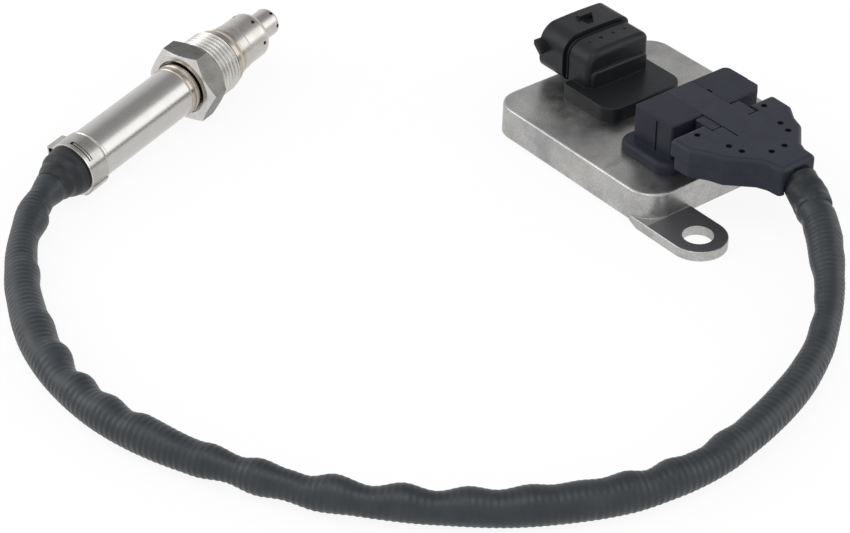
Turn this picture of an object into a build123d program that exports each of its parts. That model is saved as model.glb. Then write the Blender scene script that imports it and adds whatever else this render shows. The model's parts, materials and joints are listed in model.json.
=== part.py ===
from build123d import *
import math
import os

# Nitrogen oxide sensor: a control module and a screw-in probe joined by a fixed cable.
# Millimetres. X runs from the vehicle connector towards the sensor cable plug, Z is up.
# The origin is midway between the two mounting holes, on the plane of the ear undersides.

# Module housing
mod_length = 69.9
mod_width = 64.4
mod_top = 11.0
rim_z = 1.4
mod_corner = 8.0
mod_draft = 1.5
top_edge_radius = 0.8
wall = 3.0
roof = 2.0
cover_lip = 1.6
# How far joined bodies reach into each other
overlap = 0.5

# Mounting ears
hole_x = 47.15
hole_y = 24.0
hole_radius = 4.5
ear_radius = 8.6
ear_thick = 3.0
foot_reach = 28.0
foot_slope = 3.0
ear_edge = 0.35

# Base cover and its seal
cover_thick = 1.1
seal_thick = 0.4
fit_gap = 0.1

# Seals between the connectors and the housing roof
seal_width = 1.4
seal_inset = 1.0
seal_depth = 0.8

# Circuit board
board_thick = 1.6
board_z = 4.4
board_gap = 0.6
boss_inset_x = 8.95
boss_inset_y = 9.7
boss_radius = 3.0
bore_cover = 1.0
screw_radius = 1.25
screw_head_radius = 2.4
screw_head_thick = 1.0
screw_gap = 0.25
screw_bite = 2.4
# Chips as X, Y, width, depth and height
chip_spots = ((2.0, -14.0, 10.0, 10.0, 1.4), (22.0, 6.0, 6.0, 8.0, 1.6), (-8.0, 14.0, 7.0, 5.0, 1.2))
lead_depth = 0.8
lead_hole_radius = 1.0
capacitor_radius = 2.6
capacitor_height = 2.2
capacitor_foot = 0.4
capacitor_inset_x = 10.95
capacitor_inset_y = 8.2

# Vehicle connector
vc_y = 0.9
flange_top = 15.7
flange_x0 = -23.4
flange_x1 = -1.8
flange_y0 = -14.5
flange_y1 = 15.3
flange_corner = 5.0
flange_back_corner = 1.5
flange_edge = 0.5
elbow_x1 = -15.5
elbow_inset = 1.1
elbow_edge = 2.2
rear_pad_top = 21.3
rear_pad_proud = 1.0
rear_pad_y0 = -9.9
rear_pad_y1 = 11.5
rear_pad_corner = 1.6
rear_pad_edge = 0.9
shroud_x0 = -37.0
shroud_x1 = -26.4
shroud_half = 13.0
shroud_z0 = 13.4
shroud_z1 = 28.5
shroud_left_radius = 6.0
shroud_right_radius = 3.4
shroud_low_radius = 4.0
shroud_crown = 0.45
shroud_wall = 1.7
mouth_depth = 9.6
ridge_gap = 0.5
ridge_wide = 0.7
ridge_step = 0.45
socket_spigot = (-24.0, -15.0, 9.0)
spigot_dip = 1.2
spigot_corner = 1.5
rib_reach = 2.4
# Side view of the coding rib, as X and Z
rib_profile = ((-37.0, 22.8), (-37.0, 24.2), (-36.1, 24.2), (-33.2, 21.2), (-34.2, 20.2))
ramp_y = 1.9
ramp_half = 2.5
ramp_x0 = -35.4
ramp_x1 = -32.5
ramp_rise = 0.9
pocket_x1 = -28.5
pocket_y = 0.6
pocket_half = 1.0
pocket_depth = 1.0
mark_x = -21.6
mark_y = 1.0
mark_count = 4
mark_pitch = 4.65
mark_radius = 0.7
mark_depth = 0.25

# Vehicle connector blades
blade_count = 4
blade_pitch = 4.6
blade_width = 2.4
blade_thick = 0.8
blade_z = 21.0
blade_tip_x = -35.2
blade_back_x = -21.4
blade_lead = 1.0

# Sensor header
head_top = 25.5
head_x0 = 10.8
head_x1 = 26.6
head_y0 = -16.7
head_y1 = 19.2
head_corner = 0.7
head_back_corner = 2.2
head_chamfer = 2.6
head_edge = 0.45
head_step = 0.4
groove_x = 20.3
groove_wide = 0.7
groove_deep = 0.5
notch_x = 17.4
notch_length = 2.0
notch_wide = 0.9
notch_deep = 0.8
skirt_top = 14.4
skirt_x0 = 7.4
skirt_x1 = 29.4
skirt_y0 = -20.7
skirt_y1 = 23.4
skirt_corner = 5.0
skirt_edge = 1.6
tongue_half = 4.95
tongue_z = 19.4
tongue_gap = 0.15
cavity_x0 = 13.6
cavity_half = 12.0
cavity_z0 = 12.6
cavity_z1 = 18.4
header_spigot = (11.6, 16.4, 10.6)

# Header pins and plug terminals
pin_count = 6
pin_pitch = 3.6
pin_size = 0.7
pin_z = 15.5
pin_tip_x = 22.0
pin_back_x = 12.6
pin_end_gap = 0.5
terminal_size = 1.7
terminal_x0 = 15.2
terminal_x1 = 29.6

# Cable plug
plug_y = -1.4
plug_top = 25.5
plug_low = 16.6
plug_edge = 1.6
plug_under = 0.4
plug_corner = 1.5
plug_split_z = 20.6
plug_split_step = 0.12
plug_lower_x0 = 33.2
# Half of the plug plan, from the arm to the neck, as X and distance from its middle
plug_plan = (
    (30.5, 20.1),
    (38.5, 19.8),
    (43.2, 16.6),
    (47.4, 15.0),
    (54.0, 8.4),
    (57.0, 7.1),
    (61.5, 6.7),
)
tongue_x0 = 11.0
tongue_slot_end = 41.1
tongue_slot_wide = 0.55
tongue_slot_deep = 1.2
slot_gap = 0.7
slot_deep = 3.4
latch_x0 = 27.2
latch_x1 = 34.2
latch_half = 8.5
latch_gap = 0.15
latch_drop = 0.25
latch_corner = 0.4
nose_x0 = 14.2
nose_gap = 0.3
vent_y = -0.9
vent_radius = 0.85
vent_depth = 1.8
# Moulding vents in the plug top, as distances along X and out from their middle
vents = ((33.8, 13.0), (43.4, 10.0), (47.5, 9.0), (52.6, 2.5))

# Sensor cable, laid on the floor between the plug and the probe
cable_radius = 4.6
cable_points = [
    (63.0, -1.2, 18.8),
    (85.2, -10.0, 11.7),
    (106.0, -33.7, 4.7),
    (119.5, -66.1, 5.0),
    (123.7, -95.7, 4.7),
    (115.1, -125.4, 4.7),
    (98.0, -150.7, 4.7),
    (75.8, -172.0, 4.7),
    (49.3, -187.0, 4.7),
    (21.0, -198.4, 4.7),
    (-10.9, -199.3, 4.7),
    (-37.1, -190.4, 4.7),
    (-53.3, -183.2, 4.8),
    (-66.0, -174.3, 6.2),
    (-74.1, -165.3, 7.4),
    (-79.9, -154.8, 8.0),
]
collar_back = 3.6
collar_step = 1.8
collar_front = 9.5
collar_back_radius = 5.2
collar_front_radius = 5.35
collar_edge = 0.5
collar_shift = (0.43, 0.56, 0.0)
exit_recess_radius = 5.5
exit_recess_back = 2.4

# Probe axis: lies nearly flat, its nut and its clamp on the floor
probe_x = -98.0
probe_y = -101.1
probe_heading = 108.6
probe_tilt = 3.0

# Union nut, distances along the probe axis from the hex corner plane
nut_flats = 22.0
nut_back = -1.25
nut_hex_front = 6.3
nut_face_radius = 10.4
nut_chamfer_angle = 30.0
thread_radius = 10.0
thread_start = 7.2
thread_end = 16.3
thread_chamfer = 0.7
thread_lead = 0.5
neck_radius = 9.0
counterbore_radius = 8.8
counterbore_end = 3.2
nut_bore = 7.5

# Probe body
stem_radius = 7.1
shoulder_radius = 7.7
bead_radius = 8.1
bead_length = 1.6
bead_gap = 0.6
bead_edge = 0.3
flange_gap = 0.2
seat_radius = 9.2
seat_thick = 1.5
cone_length = 2.0
ring_radius = 8.2
ring_end = 21.0
spigot_radius = 6.95
spigot_end = 23.4
sleeve_radius = 7.8
sleeve_wall = 0.5
sleeve_back = -51.6
sleeve_front = -5.2
sleeve_grip = 4.0
sleeve_bead_rise = 0.35
sleeve_bead_back = -44.6
sleeve_bead_front = -43.2

# Probe internals
element_width = 4.0
element_thick = 1.3
element_back = -22.0
element_front = 41.0
ceramic_radius = 4.2
front_ceramic = (12.4, 22.6)
talc = (6.6, 12.4)
rear_ceramic = (-8.6, 6.6)
holder_back = -30.0
holder_front = -10.4
spring_count = 3
spring_pitch = 1.3
spring_width = 0.9
spring_thick = 0.4
spring_recess = 1.5
wire_count = 6
wire_radius = 0.75
wire_circle = 4.2
wire_grip = 4.0

# Gas tubes
outer_tube_radius = 7.45
outer_base_radius = 7.75
outer_base_end = 25.0
outer_base_step = 0.5
outer_tube_end = 35.0
outer_tip_edge = 2.6
tube_wall = 0.45
inner_tube_radius = 4.45
inner_tube_end = 43.4
inner_tip_edge = 1.4
gas_hole_radius = 0.6
outer_hole_count = 5
outer_hole_angle = 103.0
inner_hole_count = 6
inner_hole_angle = 118.0
inner_hole_t = 41.9

# Ear clamp and grommet
clamp_back = -51.5
clamp_front = -45.0
clamp_thick = 0.5
ear_start = 7.0
ear_tip = 32.0
ear_stop = 42.0
ear_tip_radius = 9.7
ear_wall = 0.5
ear_wall_start = 5.6
ear_wall_stop = 2.8
slot_back = -50.4
slot_wide = 1.3
slot_start = 88.0
slot_span = 58.0
tail_thick = 0.55
tail_start = 203.0
tail_span = 38.0
grommet_front = -44.4
grommet_lip = -52.4
grommet_lip_radius = 7.6
grommet_bend_radius = 6.1
grommet_bend = 1.2
grommet_tail = 4.6
grommet_mouth = 4.9

made = {}


def keep(name, shape):
    made[name] = shape


def block(x0, x1, y0, y1, z0, z1, radius=0.0):
    """Upright block between two corners, with rounded vertical edges."""
    outline = Rectangle(x1 - x0, y1 - y0)
    if radius > 0:
        outline = RectangleRounded(x1 - x0, y1 - y0, radius)
    placed = Pos((x0 + x1) / 2, (y0 + y1) / 2, z0) * outline
    return extrude(placed, z1 - z0)


def turned(points):
    """Ring or rod about the local Z axis from (radius, height) points."""
    profile = Plane.XZ * make_face(Polyline(*points, close=True))
    return revolve(profile, Axis.Z)


def tube(outer, inner, low, high):
    """Straight ring about the local Z axis."""
    return turned([(inner, low), (outer, low), (outer, high), (inner, high)])


def rod(radius, low, high):
    """Straight round bar about the local Z axis."""
    return Pos(0, 0, (low + high) / 2) * Cylinder(radius, high - low)


# Module housing: die-cast lid, open below
half_l = mod_length / 2
half_w = mod_width / 2
lid_outline = Pos(0, 0, rim_z) * RectangleRounded(mod_length, mod_width, mod_corner)
lid = extrude(lid_outline, mod_top - rim_z, taper=mod_draft)
lid = fillet(lid.edges().group_by(Axis.Z)[-1], top_edge_radius)


def inset_outline(inset, low, high):
    """Upright block that follows the module outline at a distance inside it."""
    reach_x = half_l - inset
    reach_y = half_w - inset
    return block(-reach_x, reach_x, -reach_y, reach_y, low, high, mod_corner - inset)


def ear(side):
    """One mounting ear with its foot under the wall, side +1 at the plug end."""
    plan = Pos((foot_reach + hole_x) / 2, 0) * Rectangle(hole_x - foot_reach, 2 * ear_radius)
    plan += Pos(hole_x, 0) * Circle(ear_radius)
    slab = extrude(plan, ear_thick)
    slab = fillet(slab.edges().group_by(Axis.Z)[-1], ear_edge)
    wedge = Polyline(
        (foot_reach - 1, -1), (foot_reach + foot_slope + 1, -1), (foot_reach + foot_slope, 0),
        (foot_reach, rim_z), (foot_reach - 1, rim_z), close=True,
    )
    slab -= extrude(Plane.XZ * make_face(wedge), ear_radius + 1, both=True)
    slab = Pos(0, -hole_y, 0) * slab
    return slab if side > 0 else Rot(0, 0, 180) * slab


ledge_z = rim_z + cover_thick + seal_thick + fit_gap
cavity = inset_outline(wall, rim_z - 1, mod_top - roof)
recess = inset_outline(cover_lip, -1, ledge_z)
housing = lid + ear(1) + ear(-1)
housing -= cavity
housing -= recess
for side in (1, -1):
    bore = Pos(side * hole_x, -side * hole_y, ear_thick / 2) * Cylinder(hole_radius, ear_thick * 2)
    housing -= bore

boss_low = board_z + board_thick
boss_x = half_l - boss_inset_x
boss_y = half_w - boss_inset_y
boss_spots = [(sx * boss_x, sy * boss_y) for sx in (-1, 1) for sy in (-1, 1)]
for bx, by in boss_spots:
    post = Pos(bx, by, 0) * rod(boss_radius, boss_low, mod_top - roof + overlap)
    housing += post
    housing -= Pos(bx, by, 0) * rod(screw_radius, boss_low - 1, mod_top - bore_cover)


def spigot(size, y, low, high, grow=0.0):
    """Block that passes through the roof under a connector."""
    x0, x1, half = size
    return block(x0 - grow, x1 + grow, y - half - grow, y + half + grow, low, high, spigot_corner + grow)


def seal_ring(size, y, low, high):
    """Flat seal around a spigot."""
    ring = spigot(size, y, low, high, seal_inset + seal_width)
    return ring - spigot(size, y, low - 1, high + 1, seal_inset)


for size, y in ((socket_spigot, vc_y), (header_spigot, 0)):
    housing -= spigot(size, y, mod_top - roof - 1, mod_top + 1, fit_gap)
    housing -= seal_ring(size, y, mod_top - seal_depth, mod_top + 1)
keep("module_housing", housing)
keep("vehicle_connector_seal", seal_ring(socket_spigot, vc_y, mod_top - seal_depth, mod_top))
keep("sensor_header_seal", seal_ring(header_spigot, 0, mod_top - seal_depth, mod_top))

# Base cover and the sealing bead above its edge
cover_inset = cover_lip + fit_gap
cover_z = rim_z + fit_gap
base_cover = inset_outline(cover_inset, cover_z, cover_z + cover_thick)
bead = inset_outline(cover_inset, cover_z + cover_thick, ledge_z)
bead -= inset_outline(wall, rim_z, mod_top)
keep("base_cover", base_cover)
keep("base_seal", bead)

# Vehicle connector
def rounded(face, corners):
    """Round chosen corners of a flat face, each given as (x, y, radius)."""
    for x, y, radius in corners:
        corner = face.vertices().sort_by_distance((x, y, 0))[0]
        face = fillet(corner, radius)
    return face


def arch(inset, low, lower=0.0):
    """Section across X: domed top with a wide left and a tight right shoulder."""
    y0 = vc_y - shroud_half + inset
    y1 = vc_y + shroud_half - inset
    top = shroud_z1 - inset
    shoulder = top - shroud_crown
    sides = Polyline((y0, shoulder), (y0, low), (y1, low), (y1, shoulder))
    dome = ThreePointArc((y1, shoulder), (vc_y, top), (y0, shoulder))
    corners = [(y0, shoulder, shroud_left_radius - inset), (y1, shoulder, shroud_right_radius - inset)]
    if lower > 0:
        corners += [(y0, low, lower), (y1, low, lower)]
    return rounded(make_face(sides + dome), corners)


def along_x(section, x0, x1):
    """Extrude a section drawn in the Y-Z plane from x0 to x1."""
    plane = Plane(origin=(x0, 0, 0), x_dir=(0, 1, 0), z_dir=(1, 0, 0))
    return extrude(plane * section, x1 - x0)


def along_y(points, y0, y1):
    """Extrude an outline drawn in the X-Z plane from y0 to y1."""
    plane = Plane(origin=(0, y0, 0), x_dir=(1, 0, 0), z_dir=(0, -1, 0))
    return extrude(plane * make_face(Polyline(*points, close=True)), y0 - y1)


def soften_back(solid, radius):
    """Round the edges of the face towards the plug, except where it meets the flange."""
    edges = solid.edges().group_by(Axis.X)[-1]
    return fillet(edges.filter_by(lambda edge: edge.center().Z > flange_top), radius)


flange_plan = rounded(
    make_face(
        Polyline(
            (flange_x0, flange_y0), (flange_x1, flange_y0), (flange_x1, flange_y1), (flange_x0, flange_y1),
            close=True,
        )
    ),
    [
        (flange_x0, flange_y0, flange_back_corner),
        (flange_x0, flange_y1, flange_back_corner),
        (flange_x1, flange_y0, flange_corner),
        (flange_x1, flange_y1, flange_corner),
    ],
)
flange = extrude(Pos(0, 0, mod_top) * flange_plan, flange_top - mod_top)
flange = fillet(flange.edges().group_by(Axis.Z)[-1], flange_edge)
elbow_low = flange_top - overlap
elbow = soften_back(along_x(arch(elbow_inset, elbow_low), shroud_x1 - 1, elbow_x1), elbow_edge)
pad_section = rounded(
    make_face(
        Polyline(
            (rear_pad_y0, elbow_low), (rear_pad_y1, elbow_low),
            (rear_pad_y1, rear_pad_top), (rear_pad_y0, rear_pad_top),
            close=True,
        )
    ),
    [(rear_pad_y0, rear_pad_top, rear_pad_corner), (rear_pad_y1, rear_pad_top, rear_pad_corner)],
)
rear_pad = soften_back(along_x(pad_section, elbow_x1 - 3, elbow_x1 + rear_pad_proud), rear_pad_edge)

# Two fine grooves that leave a raised line between the shroud and the elbow
ridge_ring = arch(elbow_inset - 1, elbow_low) - arch(elbow_inset + ridge_step, elbow_low - 1)
for start in (shroud_x1, shroud_x1 + ridge_gap + ridge_wide):
    elbow -= along_x(ridge_ring, start, start + ridge_gap)

shroud = along_x(arch(0, shroud_z0, shroud_low_radius), shroud_x0, shroud_x1)
mouth_section = arch(shroud_wall, shroud_z0 + shroud_wall, shroud_low_radius - shroud_wall)
mouth = along_x(mouth_section, shroud_x0 - 1, shroud_x0 + mouth_depth)

# Slanted coding rib on the side of the shroud, a latch ramp and its pocket on the top
shroud_side = vc_y - shroud_half
rib = along_y(rib_profile, shroud_side + 1, shroud_side - rib_reach)
ramp_base = shroud_z1 - shroud_wall / 2
ramp_top = shroud_z1 + ramp_rise
ramp = along_y(
    [(ramp_x0, ramp_base), (ramp_x1 - 1, ramp_top), (ramp_x1, ramp_top), (ramp_x1, ramp_base)],
    ramp_y + ramp_half,
    ramp_y - ramp_half,
)
pocket_plan = Polyline(
    (ramp_x1, ramp_y - ramp_half),
    (pocket_x1, pocket_y - pocket_half),
    (pocket_x1, pocket_y + pocket_half),
    (ramp_x1, ramp_y + ramp_half),
    close=True,
)
pocket = extrude(Pos(0, 0, shroud_z1 - pocket_depth) * make_face(pocket_plan), 2 * pocket_depth)
socket = flange + elbow + rear_pad + shroud + rib - pocket + ramp - mouth
socket += spigot(socket_spigot, vc_y, mod_top - roof - spigot_dip, mod_top + overlap)


def middle(index, count, pitch):
    """Offset of one item of a row centred on zero."""
    return (index - (count - 1) / 2) * pitch


elbow_crest = shroud_z1 - elbow_inset
for k in range(mark_count):
    y = mark_y + middle(k, mark_count, mark_pitch)
    surface = elbow_crest - shroud_crown * ((y - vc_y) / shroud_half) ** 2
    socket -= Pos(mark_x, y, surface) * Cylinder(mark_radius, 2 * mark_depth)

blades = Part()
for k in range(blade_count):
    y = vc_y + middle(k, blade_count, blade_pitch)
    half = blade_width / 2
    blade = block(
        blade_tip_x, blade_back_x, y - half, y + half, blade_z - blade_thick / 2, blade_z + blade_thick / 2
    )
    lead = block(
        blade_back_x - blade_lead,
        blade_back_x,
        y - blade_lead / 2,
        y + blade_lead / 2,
        board_z - lead_depth,
        blade_z + blade_thick / 2,
    )
    blades += blade + lead
socket -= blades
keep("vehicle_connector", socket)
keep("vehicle_connector_pins", blades)

# Sensor header: block with an open channel above and a plug cavity below it
head_plan = rounded(
    make_face(
        Polyline(
            (head_x0, head_y0),
            (head_x1, head_y0),
            (head_x1, head_y1 - head_chamfer),
            (head_x1 - head_chamfer, head_y1),
            (head_x0, head_y1),
            close=True,
        )
    ),
    [
        (head_x0, head_y0, head_corner),
        (head_x1, head_y0, head_corner),
        (head_x1, head_y1 - head_chamfer, head_corner),
        (head_x1 - head_chamfer, head_y1, head_corner),
        (head_x0, head_y1, head_back_corner),
    ],
)
head = extrude(Pos(0, 0, mod_top) * head_plan, head_top - mod_top)
head = fillet(head.edges().group_by(Axis.Z)[-1], head_edge)
skirt = block(skirt_x0, skirt_x1, skirt_y0, skirt_y1, mod_top, skirt_top, skirt_corner)
skirt = fillet(skirt.edges().group_by(Axis.Z)[-1], skirt_edge)
header = head + skirt
channel_half = tongue_half + tongue_gap
header -= block(head_x0 - 1, head_x1 + 4, -channel_half, channel_half, tongue_z - tongue_gap, head_top + 1)
header -= block(cavity_x0, skirt_x1 + 1, -cavity_half, cavity_half, cavity_z0, cavity_z1)

# Grooves down both ends of the header, a set-back beyond the right one and a notch in the channel
groove_x0 = groove_x - groove_wide / 2
groove_x1 = groove_x + groove_wide / 2
header -= block(groove_x0, groove_x1, head_y0 - 1, head_y0 + groove_deep, skirt_top, head_top - 1)
header -= block(groove_x0, groove_x1, head_y1 - groove_deep, head_y1 + 1, skirt_top, head_top + 1)
header -= block(groove_x, head_x1 + 1, head_y1 - head_step, head_y1 + 1, skirt_top, head_top + 1)
notch_z = head_top - notch_deep
header -= block(
    notch_x, notch_x + notch_length, tongue_half, tongue_half + notch_wide, notch_z, head_top + 1
)
header += spigot(header_spigot, 0, mod_top - roof - spigot_dip, mod_top + overlap)

pins = Part()
for k in range(pin_count):
    y = middle(k, pin_count, pin_pitch)
    half = pin_size / 2
    blade = block(pin_back_x, pin_tip_x, y - half, y + half, pin_z - half, pin_z + half)
    lead = block(pin_back_x, pin_back_x + pin_size, y - half, y + half, board_z - lead_depth, pin_z + half)
    pins += blade + lead
header -= pins
keep("sensor_header", header)
keep("sensor_header_pins", pins)

# Circuit board with lead holes, screw holes and its parts
def board_hole(x, y, radius):
    """Round hole through the board."""
    return Pos(x, y, 0) * rod(radius, board_z - 1, board_z + board_thick + 1)


board = inset_outline(wall + board_gap, board_z, board_z + board_thick)
for bx, by in boss_spots:
    board -= board_hole(bx, by, screw_radius + screw_gap)
for k in range(blade_count):
    y = vc_y + middle(k, blade_count, blade_pitch)
    board -= board_hole(blade_back_x - blade_lead / 2, y, lead_hole_radius)
for k in range(pin_count):
    y = middle(k, pin_count, pin_pitch)
    board -= board_hole(pin_back_x + pin_size / 2, y, lead_hole_radius)
keep("circuit_board", board)

board_top = board_z + board_thick
chips = Part()
for cx, cy, width, depth, height in chip_spots:
    half_x = width / 2
    half_y = depth / 2
    chips += block(cx - half_x, cx + half_x, cy - half_y, cy + half_y, board_top, board_top + height)
keep("board_chips", chips)
capacitor_x = half_l - capacitor_inset_x
capacitor_y = half_w - capacitor_inset_y
capacitors = Part()
for cx, cy in ((-6.0, -capacitor_y), (2.0, capacitor_y), (-capacitor_x, -14.5)):
    can = Pos(cx, cy, 0) * rod(capacitor_radius, board_top + capacitor_foot, board_top + capacitor_height)
    side = capacitor_radius
    foot = block(cx - side, cx + side, cy - side, cy + side, board_top, board_top + capacitor_foot)
    capacitors += can + foot
keep("board_capacitors", capacitors)
screws = Part()
for bx, by in boss_spots:
    shank = rod(screw_radius, board_z, boss_low + screw_bite)
    head = rod(screw_head_radius, board_z - screw_head_thick, board_z)
    screws += Pos(bx, by, 0) * (shank + head)
keep("board_screws", screws)

# Cable plug: wide arms that narrow to the cable, a tongue in the header and a nose in its cavity
def plug_outline(grow=0.0):
    """Plan of the plug body, grown by a distance."""
    left = [(x, -half) for x, half in reversed(plug_plan)]
    face = make_face(Polyline(*plug_plan, *left, close=True))
    face = fillet(face.vertices(), plug_corner)
    return offset(face, grow) if grow else face


arm_reach = plug_plan[0][1] - plug_y + 1
upper = extrude(Pos(0, plug_y, plug_split_z) * plug_outline(), plug_top - plug_split_z)
upper = fillet(upper.edges().group_by(Axis.Z)[-1], plug_edge)
lower = extrude(Pos(0, plug_y, plug_low) * plug_outline(plug_split_step), plug_split_z - plug_low)
lower = chamfer(lower.edges().group_by(Axis.Z)[0], plug_under)
lower &= block(plug_lower_x0, plug_plan[-1][0] + 1, -arm_reach, arm_reach, plug_low, plug_split_z)
plug = upper + lower
slot_low = plug_top - slot_deep
for side in (1, -1):
    y0, y1 = sorted((side * tongue_half, side * (latch_half + slot_gap)))
    plug -= block(plug_plan[0][0] - 1, latch_x1 + slot_gap, y0, y1, slot_low, plug_top + 1)
plug -= block(
    latch_x1,
    tongue_slot_end,
    -tongue_half - tongue_slot_wide,
    -tongue_half,
    plug_top - tongue_slot_deep,
    plug_top + 1,
)
plug_x0 = plug_plan[0][0]
nose_half = cavity_half - nose_gap
plug += block(tongue_x0, plug_x0 + 6, -tongue_half, tongue_half, tongue_z, plug_top)
plug += block(nose_x0, plug_lower_x0 + 2, -nose_half, nose_half, cavity_z0 + nose_gap, cavity_z1 - nose_gap)
for vx, reach in vents:
    for side in (1, -1):
        plug -= Pos(vx, vent_y + side * reach, plug_top) * Cylinder(vent_radius, 2 * vent_depth)

# Latch fingers of the plug, one on each side of the tongue
fingers = Part()
for side in (1, -1):
    y0, y1 = sorted((side * (tongue_half + latch_gap), side * latch_half))
    fingers += block(latch_x0, latch_x1, y0, y1, slot_low, plug_top - latch_drop, latch_corner)
keep("plug_latches", fingers)

# Terminals in the nose, each open towards its pin
terminals = Part()
for k in range(pin_count):
    y = middle(k, pin_count, pin_pitch)
    half = terminal_size / 2
    body = block(terminal_x0, terminal_x1, y - half, y + half, pin_z - half, pin_z + half)
    hole = pin_size / 2 + fit_gap
    body -= block(
        terminal_x0 - 1, pin_tip_x + pin_end_gap, y - hole, y + hole, pin_z - hole, pin_z + hole
    )
    plug -= block(
        nose_x0 - 1, terminal_x1, y - half, y + half, pin_z - half, pin_z + half
    )
    terminals += body
keep("plug_terminals", terminals)

# Sensor cable
plan_points = [Vector(*p) for p in cable_points]
bend_radii = []
for a, b, c in zip(plan_points, plan_points[1:], plan_points[2:]):
    turn = math.radians((b - a).get_angle(c - b))
    short = min((b - a).length, (c - b).length)
    bend_radii.append(0.45 * short / math.tan(turn / 2))
print("cable bend radii", [round(r, 1) for r in bend_radii])
route = FilletPolyline(*plan_points, radius=bend_radii)
leave = (plan_points[1] - plan_points[0]).normalized()
arrive = (plan_points[-1] - plan_points[-2]).normalized()
cable_start = Plane(origin=plan_points[0], z_dir=leave)
cable = sweep(cable_start * Circle(cable_radius), path=route)
expected = math.pi * cable_radius**2 * route.length
print("cable length", round(route.length, 1), "volume share", round(cable.volume / expected, 4))
keep("sensor_cable", cable)

# Boot around the cable in a recess of the plug, leaning a little to the cable's outer side
boot_end = plan_points[0] + collar_front * leave + Vector(*collar_shift)
boot_frame = Plane(origin=plan_points[0], z_dir=(boot_end - plan_points[0]).normalized())
plug -= cable_start * rod(exit_recess_radius, -exit_recess_back, collar_front)
boot = turned(
    [
        (0, -collar_back),
        (cable_radius, -collar_back),
        (cable_radius, -collar_step),
        (collar_back_radius, -collar_step),
        (collar_front_radius, collar_front - collar_edge),
        (collar_front_radius - collar_edge, collar_front),
        (0, collar_front),
    ]
)
collar = boot_frame * boot
plug -= collar
collar -= cable
keep("lead_plug", plug)
keep("plug_cable_collar", collar)

# Probe frame: local Z along the axis to the tip, local Y upwards
heading = math.radians(probe_heading)
tilt = math.radians(probe_tilt)
axis_dir = (
    math.cos(tilt) * math.cos(heading),
    math.cos(tilt) * math.sin(heading),
    math.sin(tilt),
)
side_dir = (-math.sin(heading), math.cos(heading), 0)
chamfer_rise = math.tan(math.radians(nut_chamfer_angle))
flat_start = nut_back + (nut_flats / 2 - nut_face_radius) * chamfer_rise
probe_z = nut_flats / 2 * math.cos(tilt) - flat_start * math.sin(tilt)
probe = Plane(origin=(probe_x, probe_y, probe_z), x_dir=side_dir, z_dir=axis_dir)
print("probe origin", (probe_x, probe_y, round(probe_z, 3)), "axis", [round(v, 5) for v in axis_dir])
print("side", [round(v, 5) for v in side_dir])

# Union nut: chamfered hexagon, neck and a plain cylinder at the thread's outside size
hexagon = Pos(0, 0, nut_back) * RegularPolygon(nut_flats / 2, 6, major_radius=False)
hex_bar = extrude(hexagon, nut_hex_front - nut_back)
corner = nut_flats / 2 / math.cos(math.radians(30)) + overlap
rise = (corner - nut_face_radius) * chamfer_rise
hex_bar &= turned(
    [
        (0, nut_back),
        (nut_face_radius, nut_back),
        (corner, nut_back + rise),
        (corner, nut_hex_front - rise),
        (nut_face_radius, nut_hex_front),
        (0, nut_hex_front),
    ]
)
nut = hex_bar + turned(
    [
        (0, nut_hex_front - overlap),
        (neck_radius, nut_hex_front - overlap),
        (neck_radius, thread_start - thread_lead),
        (thread_radius, thread_start),
        (thread_radius, thread_end - thread_chamfer),
        (thread_radius - thread_chamfer, thread_end),
        (0, thread_end),
    ]
)
nut -= rod(nut_bore, nut_back - 1, thread_end + 1)
nut -= rod(counterbore_radius, nut_back - 1, counterbore_end)
keep("union_nut", probe * nut)

# Probe housing: stem inside the nut, seat flange and cone in front of it
seat_back = thread_end + flange_gap
seat_front = seat_back + seat_thick
cone_end = seat_front + cone_length
sleeve_bore = sleeve_radius - sleeve_wall



def bead_points(back):
    """Rounded ring standing out of the shoulder, as radius and distance along the axis."""
    front = back + bead_length
    return [
        (bead_radius - bead_edge, back),
        (bead_radius, back + bead_edge),
        (bead_radius, front - bead_edge),
        (bead_radius - bead_edge, front),
    ]


second_bead = sleeve_front + bead_length + bead_gap
housing_profile = [
    (ceramic_radius, sleeve_front - sleeve_grip),
    (sleeve_bore, sleeve_front - sleeve_grip),
    (sleeve_bore, sleeve_front),
    *bead_points(sleeve_front),
    (shoulder_radius, sleeve_front + bead_length),
    (shoulder_radius, second_bead),
    *bead_points(second_bead),
    (shoulder_radius, second_bead + bead_length),
    (shoulder_radius, counterbore_end - 2 * bead_edge),
    (stem_radius, counterbore_end - bead_edge),
    (stem_radius, seat_back),
    (seat_radius, seat_back),
    (seat_radius, seat_front),
    (ring_radius, cone_end),
    (ring_radius, ring_end),
    (spigot_radius, ring_end),
    (spigot_radius, spigot_end),
    (ceramic_radius, spigot_end),
]
keep("probe_housing", probe * turned(housing_profile))

# Polished sleeve behind the nut
bead_rise = sleeve_radius + sleeve_bead_rise
sleeve = tube(sleeve_radius, sleeve_bore, sleeve_back, sleeve_front)
sleeve += turned(
    [
        (sleeve_radius, sleeve_bead_back),
        (bead_rise, sleeve_bead_back + sleeve_bead_rise),
        (bead_rise, sleeve_bead_front - sleeve_bead_rise),
        (sleeve_radius, sleeve_bead_front),
        (sleeve_radius - sleeve_bead_rise, (sleeve_bead_back + sleeve_bead_front) / 2),
    ]
)
keep("probe_sleeve", probe * sleeve)

# Gas tubes over the sensing tip
def cup(radius, low, high, edge):
    """Round bar with a rounded top edge."""
    solid = rod(radius, low, high)
    return fillet(solid.edges().group_by(Axis.Z)[-1], edge)


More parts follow.
